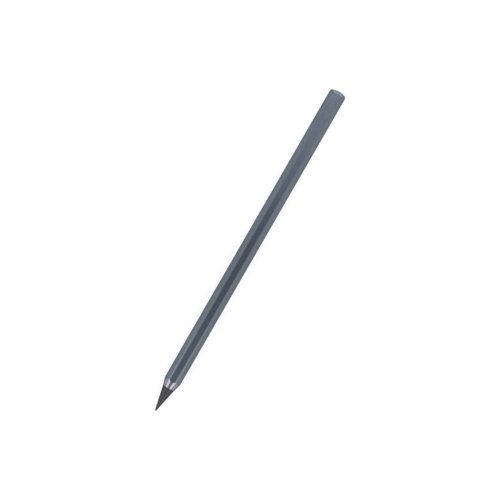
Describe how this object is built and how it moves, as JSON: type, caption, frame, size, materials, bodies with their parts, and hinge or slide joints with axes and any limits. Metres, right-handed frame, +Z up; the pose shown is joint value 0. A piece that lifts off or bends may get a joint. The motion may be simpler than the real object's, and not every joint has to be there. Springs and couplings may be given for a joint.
{
  "type": "inkless metal pencil",
  "caption": "Slim hexagonal anodised aluminium pencil with a bare turned nose cone, a screw-in dark metal writing tip that needs no ink or sharpening, and a domed closed rear end.",
  "frame": {"origin": "on the resting flat, below the middle of the pencil's overall length", "axes": "+X from the writing tip to the rear end, +Z up, square to the resting flat, +Y across the corners"},
  "size_m": [0.16, 0.0076, 0.0072],
  "materials": {
    "anodised_aluminium": "satin blue-grey anodised, bare silver where the nose cone is turned",
    "plug_aluminium": "satin blue-grey anodised",
    "brass": "machined",
    "stud_steel": "machined",
    "o_ring_rubber": "matt",
    "tip_alloy": "matt dark grey graphite-bearing metal"
  },
  "bodies": {
    "barrel": {"barrel": "anodised_aluminium", "nose_bush": "brass", "end_plug": "plug_aluminium"},
    "o_ring": {"tip_o_ring": "o_ring_rubber"},
    "tip": {"writing_tip": "tip_alloy", "tip_stud": "stud_steel"}
  },
  "joints": [
    {"name": "tip_draw", "type": "slide", "parent": "barrel", "child": "o_ring", "axis": [-1, 0, 0], "range_m": [0, 0.005]},
    {"name": "tip_unscrew", "type": "hinge", "parent": "o_ring", "child": "tip", "pos_m": [-0.0686, 0, 0.0036], "axis": [-1, 0, 0], "range_deg": [0, 3600]}
  ],
  "couplings": [
    {"joint": "tip_unscrew", "follows": "tip_draw", "rad_per_m": 12566}
  ]
}
